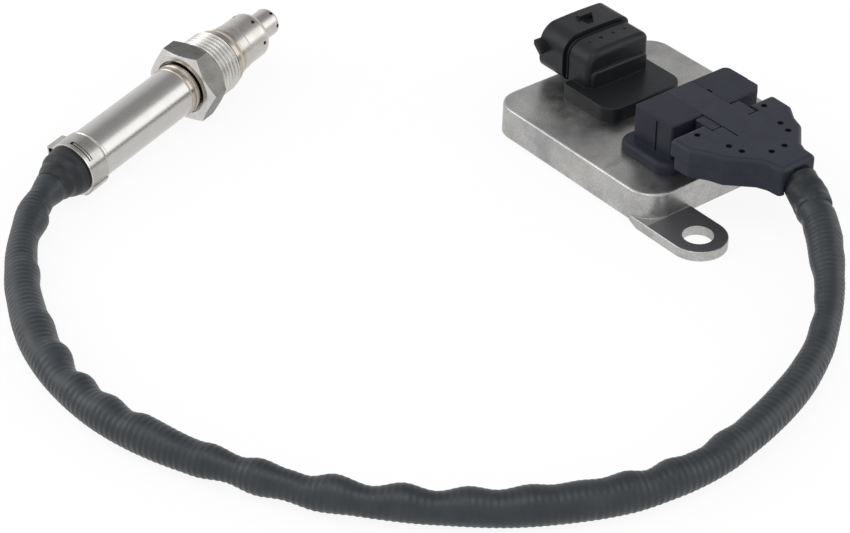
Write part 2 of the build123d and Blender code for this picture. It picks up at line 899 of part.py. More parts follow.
outer_tube = cup(outer_tube_radius, ring_end, outer_tube_end, outer_tip_edge)
outer_tube += turned(
    [
        (0, ring_end),
        (outer_base_radius, ring_end),
        (outer_base_radius, outer_base_end - outer_base_step),
        (outer_tube_radius, outer_base_end),
        (0, outer_base_end),
    ]
)
outer_bore = outer_tube_radius - tube_wall
hollow_end = outer_tube_end - tube_wall
outer_tube -= cup(outer_bore, ring_end - 1, hollow_end, outer_tip_edge - tube_wall)
outer_tube -= rod(inner_tube_radius, ring_end, outer_tube_end + 1)
bend_middle = outer_tube_radius - outer_tip_edge
for k in range(outer_hole_count):
    turn = Rot(0, 0, outer_hole_angle + 360 / outer_hole_count * k)
    start = Pos(bend_middle, 0, outer_tube_end - outer_tip_edge) * Rot(0, 45, 0)
    outer_tube -= turn * start * rod(gas_hole_radius, outer_tip_edge / 3, 2 * outer_tip_edge)
keep("outer_gas_tube", probe * outer_tube)

inner_tube = cup(inner_tube_radius, spigot_end, inner_tube_end, inner_tip_edge)
inner_tube += rod(outer_bore - fit_gap / 2, spigot_end, spigot_end + tube_wall)
inner_bore = inner_tube_radius - tube_wall
inner_tube -= cup(inner_bore, spigot_end - 1, inner_tube_end - tube_wall, inner_tip_edge - tube_wall)
for k in range(inner_hole_count):
    turn = Rot(0, 0, inner_hole_angle + 360 / inner_hole_count * k)
    drill = rod(gas_hole_radius, inner_tube_radius / 2, inner_tube_radius + 1)
    inner_tube -= turn * Pos(0, 0, inner_hole_t) * Rot(0, 90, 0) * drill
keep("inner_gas_tube", probe * inner_tube)

# Sensing element, a flat strip held by ceramic and talc inside the housing
element = Pos(0, 0, (element_back + element_front) / 2) * Box(
    element_width, element_thick, element_front - element_back
)
keep("sensing_element", probe * element)
packing = (("front_ceramic", front_ceramic), ("talc_seal", talc), ("rear_ceramic", rear_ceramic))
for name, span in packing:
    keep(name, probe * (rod(ceramic_radius, *span) - element))

# Contact holder with springs on both faces of the strip, and the wires to the cable
springs = Part()
for k in range(spring_count):
    x = middle(k, spring_count, spring_pitch)
    for face in (1, -1):
        y = face * (element_thick + spring_thick) / 2
        z = (holder_front - spring_recess + element_back + spring_recess) / 2
        length = holder_front - element_back - 2 * spring_recess
        springs += Pos(x, y, z) * Box(spring_width, spring_thick, length)
wires = Part()
for k in range(wire_count):
    spot = Rot(0, 0, 360 / wire_count * (k + 0.5)) * Pos(wire_circle, 0, 0)
    wires += spot * rod(wire_radius, grommet_front, holder_back + wire_grip)
holder = rod(sleeve_bore - fit_gap, holder_back, holder_front) - element - springs - wires
keep("contact_holder", probe * holder)
keep("contact_springs", probe * springs)
keep("lead_wires", probe * wires)

# Grommet: rubber plug in the sleeve with a bell-shaped tail lofted along the bent cable
tail_frame = Plane(origin=plan_points[-1], x_dir=side_dir, z_dir=arrive)
grommet_plug = rod(sleeve_bore, grommet_lip, grommet_front)
grommet_plug += rod(grommet_lip_radius, grommet_lip, sleeve_back)
bell = loft(
    [
        probe * Pos(0, 0, grommet_lip) * Circle(grommet_lip_radius),
        tail_frame * Pos(0, 0, grommet_bend) * Circle(grommet_bend_radius),
        tail_frame * Pos(0, 0, -grommet_tail) * Circle(grommet_mouth),
    ]
)
grommet = probe * grommet_plug + bell
grommet -= cable
keep("cable_grommet", grommet)

# Clamp: band, raised ear, curved slot near the back edge and an overlapping tail
clamp_radius = sleeve_radius + clamp_thick


def polar(radius, angle):
    """Point in the plane across the probe axis."""
    return (radius * math.cos(math.radians(angle)), radius * math.sin(math.radians(angle)))


def across(points):
    """Prism across the clamp width from polar corner points."""
    face = make_face(Polyline(*[polar(r, a) for r, a in points], close=True))
    return extrude(Pos(0, 0, clamp_back) * face, clamp_front - clamp_back)


def sector(inner, outer, low, high, start, span):
    """Part of a ring between two angles."""
    ring = tube(outer, inner, low, high)
    far = outer + 5
    middle_angle = start + span / 2
    wedge = make_face(
        Polyline((0, 0), polar(far, start), polar(far, middle_angle), polar(far, start + span), close=True)
    )
    return ring & extrude(Pos(0, 0, low) * wedge, high - low)


clamp = tube(clamp_radius, sleeve_radius, clamp_back, clamp_front)
ear_outer = across(
    [(clamp_radius - fit_gap, ear_start), (ear_tip_radius, ear_tip), (clamp_radius - fit_gap, ear_stop)]
)
ear_inner = across(
    [
        (sleeve_radius, ear_start + ear_wall_start),
        (ear_tip_radius - 1.3 * ear_wall, ear_tip - 1.0),
        (sleeve_radius, ear_stop - ear_wall_stop),
        (sleeve_radius - ear_wall, ear_tip - 8.0),
    ]
)
clamp += ear_outer - rod(sleeve_radius, clamp_back, clamp_front)
clamp -= ear_inner
clamp -= sector(sleeve_radius - 1, clamp_radius + 1, slot_back, slot_back + slot_wide, slot_start, slot_span)
clamp += sector(clamp_radius, clamp_radius + tail_thick, clamp_back, clamp_front, tail_start, tail_span)
keep("ear_clamp", probe * clamp)

os.makedirs("parts", exist_ok=True)
for name, shape in made.items():
    export_step(shape, f"parts/{name}.step")
print(len(made), "parts")
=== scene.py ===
import json
import math

import bmesh
import bpy
import numpy as np
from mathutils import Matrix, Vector


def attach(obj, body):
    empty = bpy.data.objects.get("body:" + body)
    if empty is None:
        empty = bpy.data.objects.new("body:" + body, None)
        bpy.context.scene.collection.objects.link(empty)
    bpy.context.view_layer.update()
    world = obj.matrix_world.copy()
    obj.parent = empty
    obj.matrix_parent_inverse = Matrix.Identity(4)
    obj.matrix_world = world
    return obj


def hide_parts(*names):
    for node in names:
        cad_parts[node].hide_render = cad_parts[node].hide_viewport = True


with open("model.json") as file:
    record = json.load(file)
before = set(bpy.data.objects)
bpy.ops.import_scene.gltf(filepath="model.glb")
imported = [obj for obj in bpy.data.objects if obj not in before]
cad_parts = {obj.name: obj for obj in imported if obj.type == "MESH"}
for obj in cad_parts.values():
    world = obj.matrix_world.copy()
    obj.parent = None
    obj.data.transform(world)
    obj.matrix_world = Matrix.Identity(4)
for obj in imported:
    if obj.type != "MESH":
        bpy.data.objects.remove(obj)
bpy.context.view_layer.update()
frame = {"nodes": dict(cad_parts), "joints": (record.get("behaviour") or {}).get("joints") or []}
nodes = frame["nodes"]
scene = bpy.context.scene
scene.view_settings.view_transform = "Standard"
MM = 0.001

# Camera: the photograph's viewpoint, in millimetres of the shared frame
camera_spot = Vector((420.1, -406.6, 367.3)) * MM
camera_target = Vector((9.36, -91.32, 0.0)) * MM
camera_lens = 97.16
sensor_width = 36.0

camera_data = bpy.data.cameras.new("camera")
camera_data.lens = camera_lens
camera_data.sensor_width = sensor_width
camera_data.clip_start = 0.01
camera = bpy.data.objects.new("camera", camera_data)
scene.collection.objects.link(camera)
sight = camera_target - camera_spot
camera.location = camera_spot
camera.rotation_euler = sight.to_track_quat("-Z", "Y").to_euler()
scene.camera = camera


# Small makers for objects and node materials
def add_object(name, mesh):
    obj = bpy.data.objects.new(name, mesh)
    scene.collection.objects.link(obj)
    return obj


def add_mesh(name, points, faces, material):
    """An object from points in metres and faces of point numbers."""
    mesh = bpy.data.meshes.new(name)
    mesh.from_pydata([tuple(p) for p in points], [], faces)
    mesh.validate()
    mesh.materials.append(material)
    return add_object(name, mesh)


class Look:
    """A node material built around one Principled shader."""

    def __init__(self, name, color, metallic=0.0, roughness=0.5):
        self.material = bpy.data.materials.new(name)
        self.material.use_nodes = True
        self.tree = self.material.node_tree
        self.shader = self.tree.nodes["Principled BSDF"]
        self.shader.inputs["Base Color"].default_value = (*color, 1)
        self.shader.inputs["Metallic"].default_value = metallic
        self.shader.inputs["Roughness"].default_value = roughness
        self.place = self.tree.nodes.new("ShaderNodeTexCoord").outputs["Object"]

    def node(self, kind, **values):
        made = self.tree.nodes.new(kind)
        for key, value in values.items():
            setattr(made, key, value)
        return made

    def link(self, source, target):
        self.tree.links.new(source, target)

    def stretch(self, scale):
        mapping = self.node("ShaderNodeMapping")
        mapping.inputs["Scale"].default_value = scale
        self.link(self.place, mapping.inputs["Vector"])
        return mapping.outputs["Vector"]

    def noise(self, size_mm, detail=3.0, rough=0.55, place=None):
        """Noise whose blobs are about size_mm across."""
        made = self.node("ShaderNodeTexNoise")
        made.inputs["Scale"].default_value = 1000.0 / size_mm
        made.inputs["Detail"].default_value = detail
        made.inputs["Roughness"].default_value = rough
        self.link(place or self.place, made.inputs["Vector"])
        return made.outputs["Fac"]

    def ramp(self, value, stops):
        """Colours at positions along a value; a stop is (position, colour)."""
        made = self.node("ShaderNodeValToRGB")
        bar = made.color_ramp
        while len(bar.elements) < len(stops):
            bar.elements.new(0.5)
        for element, (position, color) in zip(bar.elements, stops):
            element.position = position
            element.color = (*color, 1)
        self.link(value, made.inputs["Fac"])
        return made.outputs["Color"]

    def levels(self, value, low, high, out_low, out_high):
        """A value's range from low to high, stretched to another range."""
        made = self.node("ShaderNodeMapRange")
        for key, number in (
            ("From Min", low), ("From Max", high), ("To Min", out_low), ("To Max", out_high),
        ):
            made.inputs[key].default_value = number
        self.link(value, made.inputs["Value"])
        return made.outputs["Result"]

    def mix(self, amount, first, second):
        """Colour between two by an amount; the node's sockets 6 and 7 are its colours."""
        made = self.node("ShaderNodeMix", data_type="RGBA")
        for source, key in ((amount, 0), (first, 6), (second, 7)):
            if isinstance(source, tuple):
                made.inputs[key].default_value = (*source, 1)
            elif isinstance(source, float):
                made.inputs[key].default_value = source
            else:
                self.link(source, made.inputs[key])
        return made.outputs[2]

    def math(self, operation, first, second=0.0):
        made = self.node("ShaderNodeMath", operation=operation)
        for source, key in ((first, 0), (second, 1)):
            if isinstance(source, (int, float)):
                made.inputs[key].default_value = source
            else:
                self.link(source, made.inputs[key])
        return made.outputs["Value"]

    def color(self, source):
        self.link(source, self.shader.inputs["Base Color"])

    def roughness(self, source):
        self.link(source, self.shader.inputs["Roughness"])

    def bump(self, value, depth_mm, soft_edge_mm=0.0):
        """Relief of a given depth, over edges rounded by soft_edge_mm."""
        made = self.node("ShaderNodeBump")
        made.inputs["Strength"].default_value = 1.0
        made.inputs["Distance"].default_value = depth_mm * MM
        self.link(value, made.inputs["Height"])
        if soft_edge_mm:
            edge = self.node("ShaderNodeBevel", samples=6)
            edge.inputs["Radius"].default_value = soft_edge_mm * MM
            self.link(edge.outputs["Normal"], made.inputs["Normal"])
        self.link(made.outputs["Normal"], self.shader.inputs["Normal"])

    def coordinate(self, axis):
        made = self.node("ShaderNodeSeparateXYZ")
        self.link(self.place, made.inputs["Vector"])
        return made.outputs[axis]

    def specular(self, level):
        self.shader.inputs["Specular IOR Level"].default_value = level

    def facing(self, axis):
        """How far the surface faces along an axis, from -1 to 1."""
        geometry = self.node("ShaderNodeNewGeometry")
        made = self.node("ShaderNodeSeparateXYZ")
        self.link(geometry.outputs["Normal"], made.inputs["Vector"])
        return made.outputs[axis]


# Half length of the module's lid in metres: beyond it only the ears reach
lid_half_length = 0.0352
cast_tones = [
    (0.32, (0.335, 0.335, 0.338)),
    (0.5, (0.48, 0.477, 0.467)),
    (0.7, (0.58, 0.57, 0.55)),
]


def cast_aluminium():
    look = Look("cast_aluminium", (0.46, 0.455, 0.445), 1.0, 0.32)
    clouds = look.ramp(look.noise(16, 4), cast_tones)
    stain = look.levels(look.noise(11, 3), 0.54, 0.72, 0.0, 0.35)
    tinted = look.mix(stain, clouds, (0.37, 0.335, 0.28))
    # Blasted grain: fine light and dark specks
    grain = look.levels(look.noise(0.5, 1), 0.35, 0.65, 0.0, 1.0)
    grained = look.mix(look.math("MULTIPLY", grain, 0.42), tinted, (0.24, 0.24, 0.245))
    rubbed = look.noise(4, 3, place=look.stretch((1.0, 0.4, 1.0)))
    smudge = look.levels(rubbed, 0.58, 0.72, 0.0, 0.4)
    smudged = look.mix(smudge, grained, (0.25, 0.25, 0.25))
    # Painted shade: the ears' upper faces are painted an even darker grey, for the dark reflection
    # they show, and made rougher
    reach = look.math("ABSOLUTE", look.coordinate("X"))
    outside = look.math("GREATER_THAN", reach, lid_half_length)
    up = look.levels(look.facing("Z"), 0.8, 0.95, 0.0, 1.0)
    painted_ear_top_shade = look.math("MULTIPLY", outside, up)
    look.color(look.mix(painted_ear_top_shade, smudged, (0.21, 0.213, 0.222)))
    rough = look.levels(look.noise(5, 3), 0.3, 0.7, 0.28, 0.40)
    look.roughness(look.math("MAXIMUM", rough, look.math("MULTIPLY", painted_ear_top_shade, 0.5)))
    look.bump(look.noise(0.6, 2), 0.006, 0.3)
    return look.material


def plain_metal(
    name, color, roughness, grain_mm=(0.4, 0.4, 0.4), depth=0.0015, edge=0.12, spread=0.06, dull=0.85
):
    """Bare metal: grain_mm is the grain's size in x, y and z, depth and edge are in millimetres."""
    look = Look(name, color, 1.0, roughness)
    grain = look.noise(1.0, 3, place=look.stretch([1 / g for g in grain_mm]))
    darker = tuple(c * dull for c in color)
    look.color(look.mix(look.levels(look.noise(4, 3), 0.35, 0.7, 0.0, 1.0), color, darker))
    look.roughness(look.levels(grain, 0.3, 0.7, max(0.03, roughness - spread), roughness + spread))
    look.bump(grain, depth, edge)
    return look.material


def moulded(name, color, roughness, edge=0.3, depth=0.006, spread=0.06, specular=0.3):
    """Moulded plastic or rubber; edge and depth are in millimetres."""
    look = Look(name, color, 0.0, roughness)
    cloud = look.levels(look.noise(6, 3), 0.35, 0.7, 0.0, 1.0)
    lighter = tuple(c * 1.2 for c in color)
    look.color(look.mix(cloud, color, lighter))
    look.specular(specular)
    fine = look.noise(0.35, 2)
    look.roughness(look.levels(look.noise(4, 4), 0.3, 0.7, roughness - spread, roughness + spread))
    look.bump(fine, depth, edge)
    return look.material


def sheath():
    look = Look("ribbed_sheath", (0.02, 0.022, 0.025), 0.0, 0.45)
    scuff = look.levels(look.noise(7, 4), 0.35, 0.72, 0.0, 1.0)
    look.color(look.mix(scuff, (0.013, 0.017, 0.02), (0.023, 0.028, 0.033)))
    look.specular(0.43)
    look.roughness(look.levels(look.noise(3, 3), 0.3, 0.7, 0.36, 0.48))
    look.bump(look.noise(0.5, 3), 0.008)
    return look.material


def ceramic(name, color):
    look = Look(name, color, 0.0, 0.55)
    look.color(look.mix(look.noise(1.2, 3), color, tuple(c * 0.85 for c in color)))
    look.bump(look.noise(0.3, 2), 0.01)
    return look.material


def board_look():
    look = Look("board_lacquer", (0.03, 0.16, 0.06), 0.0, 0.35)
    look.color(look.mix(look.noise(2, 3), (0.02, 0.13, 0.05), (0.04, 0.2, 0.08)))
    look.bump(look.noise(0.4, 2), 0.01)
    return look.material


black_plastic = moulded("black_plastic", (0.0085, 0.0093, 0.011), 0.37, specular=0.23)
blue_plastic = moulded("blue_grey_plastic", (0.018, 0.020, 0.029), 0.42, specular=0.2)
header_plastic = moulded("header_plastic", (0.016, 0.018, 0.026), 0.42, specular=0.16)
dark_rubber = moulded("dark_rubber", (0.012, 0.0145, 0.017), 0.42, edge=0.1)
# Black matte rubber: the seals' own colour, and also the painted shade in the clamp's slot, the gas
# ports and the plug's vents
seal_rubber_and_painted_shade = moulded("seal_rubber_and_painted_shade", (0.006, 0.006, 0.007), 0.6, specular=0.2)
polished = plain_metal(
    "polished_steel", (0.52, 0.51, 0.49), 0.24, (6, 0.15, 6), 0.0004, 0.1, 0.03, 0.95
)
turned_steel = plain_metal("turned_steel", (0.46, 0.42, 0.36), 0.22, depth=0.0006)
satin_steel = plain_metal("satin_steel", (0.56, 0.54, 0.51), 0.27, depth=0.0003, spread=0.03)
clamp_steel = plain_metal("clamp_steel", (0.46, 0.445, 0.42), 0.24, (1.2, 0.2, 1.2), 0.0008)
# Painted light on one steel: a bright copy for the nut's other faces, its thread and the clamp's rim,
# and a dark copy for the nut's flats
painted_lit_steel = plain_metal("painted_lit_steel", (0.64, 0.63, 0.60), 0.24, depth=0.0006)
painted_shaded_steel = plain_metal(
    "painted_shaded_steel", (0.19, 0.188, 0.178), 0.38, (0.5, 0.5, 0.5), 0.004, dull=0.72
)
tinned = plain_metal("tinned_contact", (0.68, 0.66, 0.58), 0.25)
zinc = plain_metal("zinc_steel", (0.6, 0.6, 0.6), 0.3)
cover_metal = plain_metal("cover_metal", (0.55, 0.55, 0.54), 0.36, (4, 0.4, 1), 0.003)
looks = {
    "module_housing": cast_aluminium(),
    "base_cover": cover_metal,
    "base_seal": seal_rubber_and_painted_shade,
    "circuit_board": board_look(),
    "board_chips": moulded("chip_plastic", (0.02, 0.02, 0.022), 0.5),
    "board_capacitors": zinc,
    "board_screws": zinc,
    "vehicle_connector": black_plastic,
    "vehicle_connector_pins": tinned,
    "vehicle_connector_seal": seal_rubber_and_painted_shade,
    "sensor_header": header_plastic,
    "sensor_header_pins": tinned,
    "sensor_header_seal": seal_rubber_and_painted_shade,
    "lead_plug": blue_plastic,
    "plug_latches": blue_plastic,
    "plug_terminals": tinned,
    "plug_cable_collar": dark_rubber,
    "cable_grommet": dark_rubber,
    "ear_clamp": clamp_steel,
    "probe_sleeve": polished,
    "probe_housing": turned_steel,
    "outer_gas_tube": satin_steel,
    "inner_gas_tube": satin_steel,
    "sensing_element": ceramic("element_ceramic", (0.8, 0.79, 0.75)),
    "front_ceramic": ceramic("white_ceramic", (0.82, 0.81, 0.78)),
    "talc_seal": ceramic("talc", (0.7, 0.69, 0.64)),
    "rear_ceramic": ceramic("rear_white_ceramic", (0.82, 0.81, 0.78)),
    "contact_holder": ceramic("holder_ceramic", (0.72, 0.70, 0.65)),
    "contact_springs": tinned,
    "lead_wires": moulded("wire_insulation", (0.55, 0.5, 0.4), 0.5),
}
for name, material in looks.items():
    for material_slot in nodes[name].material_slots:
        material_slot.material = material


# Sensor cable: a smooth line through the route's points, dressed as a ribbed sheath
route_points = [
    (63.0, -1.2, 18.8),
    (85.2, -10.0, 11.7),
    (106.0, -33.7, 4.7),
    (119.5, -66.1, 5.0),
    (123.7, -95.7, 4.7),
    (115.1, -125.4, 4.7),
    (98.0, -150.7, 4.7),
    (75.8, -172.0, 4.7),
    (49.3, -187.0, 4.7),
    (21.0, -198.4, 4.7),
    (-10.9, -199.3, 4.7),
    (-37.1, -190.4, 4.7),
    (-53.3, -183.2, 4.8),
    (-66.0, -174.3, 6.2),
    (-74.1, -165.3, 7.4),
    (-79.9, -154.8, 8.0),
]
# Distance between the sheath's rings of points, points in a ring, and the least height of a point
ring_step = 0.24
ring_points = 44
floor_gap = 0.05
# Distance along the cable and the pitch of the ribs there, tighter where the sheath is pushed together
rib_pitches = [
    (0, 1.45), (30, 1.5), (45, 1.8), (70, 2.1), (95, 1.9), (115, 1.72), (250, 1.72), (280, 1.8),
    (300, 1.85), (320, 2.0), (345, 1.83), (390, 1.75),
]
rib_height = 0.075
# Share of the ribs' height that is lost on the folded side, and the least share left at the ends
rib_flattened = 0.55
rib_least = 0.1
# Where the ribs start to rise from the least share, and where they have fallen to it: (place, length)
rib_rise = (9, 8)
rib_fall = (387, 12)
# The ribs aren't evenly spaced: (swing in radians, length, phase)
rib_wobble = [(0.35, 23.0, 0.0), (0.25, 7.3, 1.0)]
# How far the folds on the inside of the loop keep to that side
fold_focus = 1.2
# Outer radius of the sheath on the inside of the loop, where it buckles into folds: (distance, radius)
inside_radius = [
    (0, 4.3), (8, 4.5), (9.5, 4.9), (12.5, 4.2), (16, 4.5), (27, 5.1), (34, 4.45), (40, 4.35),
    (46, 3.6), (52, 4.0), (58, 3.8), (70, 4.2), (85, 4.55), (97, 4.65), (102, 4.5), (109, 5.1),
    (116, 4.1), (121, 4.25), (127, 5.0), (133, 4.0), (139, 5.1), (145, 4.6), (151, 5.0),
    (157, 4.75), (163, 5.3), (171, 4.25), (178, 5.15), (186, 3.75), (194, 5.2), (202, 3.6),
    (211, 5.15), (218, 3.45), (223, 3.85), (230.5, 4.65), (236, 3.6), (244, 4.5), (248, 4.1),
    (265, 5.25), (270, 4.25), (277, 5.2), (283, 4.2), (289, 5.25), (295, 3.75), (304, 5.9),
    (309, 5.0), (319, 5.6), (326, 4.8), (338, 4.7), (345, 5.35), (350, 4.75), (361, 4.4),
    (370, 5.6), (375, 4.4), (379, 4.0), (384.6, 4.85), (386, 4.7), (390, 4.2),
]
# The same on the outside of the loop, where it is smoother
outside_radius = [
    (0, 4.3), (8, 4.5), (9.5, 5.1), (12, 5.6), (19, 5.35), (25, 4.55), (34, 3.7), (40, 3.6),
    (49, 3.7), (61, 4.25), (79, 4.7), (103, 4.4), (112, 4.65), (127, 4.8), (139, 5.2),
    (157, 4.95), (166, 4.95), (187, 4.45), (205, 4.15), (214, 4.6), (223, 3.8), (230, 4.45),
    (238, 3.6), (247, 4.7), (259, 4.85), (280, 5.0), (304, 5.0), (322, 5.3), (337, 4.85),
    (349, 4.2), (364, 3.75), (373, 4.25), (379, 4.0), (384.6, 4.85), (386, 4.7), (390, 4.4),
]


def smooth_between(stations, distance):
    """Value at a distance, eased between stations so that it has no corners."""
    places = np.array([s[0] for s in stations], float)
    values = np.array([s[1] for s in stations], float)
    k = np.clip(np.searchsorted(places, distance) - 1, 0, len(places) - 2)
    part = np.clip((distance - places[k]) / (places[k + 1] - places[k]), 0, 1)
    ease = part * part * (3 - 2 * part)
    return values[k] + (values[k + 1] - values[k]) * ease


def route_line():
    """Points along the cable's NURBS line, in metres."""
    curve = bpy.data.curves.new("cable_route", "CURVE")
    curve.dimensions = "3D"
    spline = curve.splines.new("NURBS")
    spline.points.add(len(route_points) - 1)
    for point, spot in zip(spline.points, route_points):
        point.co = (*(Vector(spot) * MM), 1)
    spline.order_u = 3
    spline.use_endpoint_u = True
    spline.resolution_u = 60
    guide = add_object("cable_route", curve)
    mesh = bpy.data.meshes.new_from_object(guide)
    line = np.array([v.co[:] for v in mesh.vertices])
    bpy.data.objects.remove(guide)
    bpy.data.meshes.remove(mesh)
    return line


def unit(rows):
    """Each row as a vector of length 1."""
    return rows / np.linalg.norm(rows, axis=1)[:, None]


def add_tube(name, spots, material):
    """A closed tube; spots is an array of rings, points around and x, y, z in metres."""
    count, around = spots.shape[:2]
    faces = []
    for i in range(count - 1):
        for j in range(around):
            k = (j + 1) % around
            a = i * around
            b = a + around
            faces.append((a + j, a + k, b + k, b + j))
    for start in (0, (count - 1) * around):
        cap = tuple(range(start, start + around))
        faces.append(cap if start else cap[::-1])
    obj = add_mesh(name, spots.reshape(-1, 3), faces, material)
    for face in obj.data.polygons:
        face.use_smooth = len(face.vertices) == 4
    return obj


def build_cable():
    line = route_line()
    run = np.r_[0, np.cumsum(np.linalg.norm(np.diff(line, axis=0), axis=1))]
    count = int(run[-1] / MM / ring_step)
    distance = np.linspace(0, run[-1], count)
    centre = np.stack([np.interp(distance, run, line[:, k]) for k in range(3)], 1)
    along = unit(np.gradient(centre, axis=0))
    # The folds stand out towards the inside of the loop, square to the camera's line of sight
    seen_from = -np.array(sight.normalized()[:])
    inward = unit(np.cross(along, seen_from))
    over = np.cross(along, inward)
    mm = distance / MM
    inner = smooth_between(inside_radius, mm)
    outer = smooth_between(outside_radius, mm)
    angle = np.linspace(0, 2 * math.pi, ring_points, endpoint=False)
    share = ((1 + np.cos(angle)) / 2) ** fold_focus
    radius = outer[:, None] + (inner - outer)[:, None] * share[None, :]
    wobble = sum(swing * np.sin(mm / length + phase) for swing, length, phase in rib_wobble)
    turns = np.cumsum(np.gradient(mm) / smooth_between(rib_pitches, mm))
    ribs = np.cos(2 * math.pi * turns + wobble)
    # The ribs flatten on the folded side and run out at both ends
    rise = np.clip((mm - rib_rise[0]) / rib_rise[1], rib_least, 1)
    fall = np.clip((rib_fall[0] - mm) / rib_fall[1], rib_least, 1)
    ends = rise * fall
    crest = rib_height * (1 - rib_flattened * share[None, :])
    radius += crest * (ribs * ends)[:, None]
    radius *= MM
    cosine = np.cos(angle)[None, :, None]
    sine = np.sin(angle)[None, :, None]
    outward = cosine * inward[:, None, :] + sine * over[:, None, :]
    spots = centre[:, None, :] + radius[:, :, None] * outward
    spots[:, :, 2] = np.maximum(spots[:, :, 2], floor_gap * MM)
    obj = add_tube("sensor_cable_sheath", spots, sheath())
    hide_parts("sensor_cable")
    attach(obj, "sensor")


build_cable()


# Boot over the cable's start: a shrunk rubber sleeve with creases
boot_from = -1.6
boot_to = 9.6
boot_radius = 5.18
# Its middle line follows the route's first stretch, and is off it by the lean at this distance
boot_reach = 9.5
boot_lean = (0.43, 0.56, 0.0)
# Its mouth is rolled in by this much over this length
boot_roll = 0.55
boot_roll_length = 0.9
# Its creases fade out over these lengths at the plug and at the mouth
boot_fade = (3.5, 2.0)
boot_rings = 46
boot_points = 72
# Creases as (turns around, rate along, phase, depth)
crease_waves = [
    (2, 0.45, 0.4, 0.26), (3, -0.6, 2.1, 0.18), (5, 0.7, 1.2, 0.09), (1, 2.3, 0.3, 0.04),
]


def creases(angle, distance):
    """Depth of shallow crossing folds at an angle and a distance, in millimetres."""
    total = 0
    for turns, rate, phase, depth in crease_waves:
        total = total + depth * np.sin(turns * angle + rate * distance + phase)
    return total


def rings(centres, axes, radii):
    """Rings of points about centres, square to axes, in metres from millimetres."""
    side = unit(np.cross(axes, (0.0, 0.0, 1.0)))
    top = np.cross(side, axes)
    angle = np.linspace(0, 2 * math.pi, radii.shape[1], endpoint=False)[None, :, None]
    around = np.cos(angle) * side[:, None, :] + np.sin(angle) * top[:, None, :]
    return (centres[:, None, :] + radii[:, :, None] * around) * MM


def build_boot():
    first = np.array(route_points[0])
    leave = np.array(route_points[1]) - first
    leave = leave / np.linalg.norm(leave) * boot_reach + np.array(boot_lean)
    axis = leave / np.linalg.norm(leave)
    distance = np.linspace(boot_from, boot_to, boot_rings)
    angle = np.linspace(0, 2 * math.pi, boot_points, endpoint=False)
    begin = np.clip((distance - boot_from) / boot_fade[0], 0, 1)
    end = np.clip((boot_to - distance) / boot_fade[1], 0, 1)
    radii = boot_radius + (begin * end)[:, None] * creases(angle[None, :], distance[:, None])
    rolled = 1 - np.clip((boot_to - distance) / boot_roll_length, 0, 1) ** 0.5
    radii -= boot_roll * rolled[:, None]
    centres = first[None, :] + distance[:, None] * axis[None, :]
    spots = rings(centres, np.tile(axis, (len(distance), 1)), radii)
    obj = add_tube("plug_boot_creased", spots, dark_rubber)
    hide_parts("plug_cable_collar")
    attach(obj, "sensor")


build_boot()


# Probe frame: millimetres across (near side, down) and along the axis from the nut's rear corners
nut_joint = frame["joints"][0]
probe_axis = Vector(nut_joint["axis"]).normalized()
probe_near = Vector((0, 0, 1)).cross(probe_axis).normalized() * -1
probe_down = probe_axis.cross(probe_near)
joint_station = 7.5
probe_origin = Vector(nut_joint["pos_m"]) - probe_axis * joint_station * MM


def probe_point(radius, angle, station):
    """Point of the probe in metres from millimetres and radians."""
    across = probe_near * math.cos(angle) + probe_down * math.sin(angle)
    return probe_origin + (across * radius + probe_axis * station) * MM


def from_far_side(degrees):
    """Angle for probe_point, from degrees that start at the far side and go over the top."""
    return math.radians(180 + degrees)


# Degrees covered by one step of a strip
strip_step = 4


def arc_strip(name, radii, stations, angles, material):
    """Part of a ring about the probe axis, its angles in degrees from the far side."""
    inner, outer = radii
    back, front = stations
    start, stop = angles
    steps = max(2, int((stop - start) / strip_step))
    section = ((inner, back), (outer, back), (outer, front), (inner, front))
    verts = []
    faces = []
    for i in range(steps + 1):
        angle = from_far_side(start + (stop - start) * i / steps)
        verts += [probe_point(radius, angle, station) for radius, station in section]
        if i:
            for j in range(4):
                k = (j + 1) % 4
                faces.append((4 * i - 4 + j, 4 * i - 4 + k, 4 * i + k, 4 * i + j))
    faces += [(3, 2, 1, 0), tuple(range(4 * steps, 4 * steps + 4))]
    obj = add_mesh(name, verts, faces, material)
    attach(obj, "sensor")


# Clamp, as (inner, outer) radius, (back, front) station and (first, last) angle: a black strip in the
# slot as painted shade, with the tongue in it, and the rolled edge at the grommet in the bright steel
# as a painted highlight
arc_strip("clamp_slot_painted_shade", (7.7, 7.86), (-50.38, -49.12), (88, 146), seal_rubber_and_painted_shade)
arc_strip("clamp_tongue", (7.75, 8.3), (-50.02, -49.42), (95, 146), clamp_steel)
arc_strip("clamp_rim", (7.7, 8.33), (-51.8, -51.35), (43, 366), painted_lit_steel)

# Round gas ports near the outer tube's shoulder, shown as black plugs of painted shade between two
# radii of the probe
port_station = 31.35
port_radius = 0.6
port_depths = (7.2, 7.48)
port_count = 6
# Degrees of the first port from the far side
port_angle = 116.0
port_points = 20


def build_ports():
    verts = []
    faces = []
    around = port_points
    for index in range(port_count):
        turn = from_far_side(port_angle + 360 / port_count * index)
        start = len(verts)
        for depth in port_depths:
            for j in range(around):
                angle = 2 * math.pi * j / around
                shift = port_radius * math.cos(angle) / depth
                station = port_station + port_radius * math.sin(angle)
                verts.append(probe_point(depth, turn + shift, station))
        for j in range(around):
            k = (j + 1) % around
            faces.append((start + j, start + k, start + around + k, start + around + j))
        faces.append(tuple(range(start + around - 1, start - 1, -1)))
        faces.append(tuple(range(start + around, start + 2 * around)))
    obj = add_mesh("gas_port_painted_shade", verts, faces, seal_rubber_and_painted_shade)
    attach(obj, "sensor")


build_ports()


# Painted shade in the plug's moulding vents, as black cups, in millimetres: four on each side of its
# middle, as (x, distance from the middle), and the cup's rim, lip and floor as (radius, height)
plug_middle = -0.9
vent_places = [(33.8, 13.0), (43.4, 10.0), (47.5, 9.0), (52.6, 2.5)]
vent_profile = [(1.0, 25.52), (0.84, 25.52), (0.84, 23.85)]
vent_points = 28


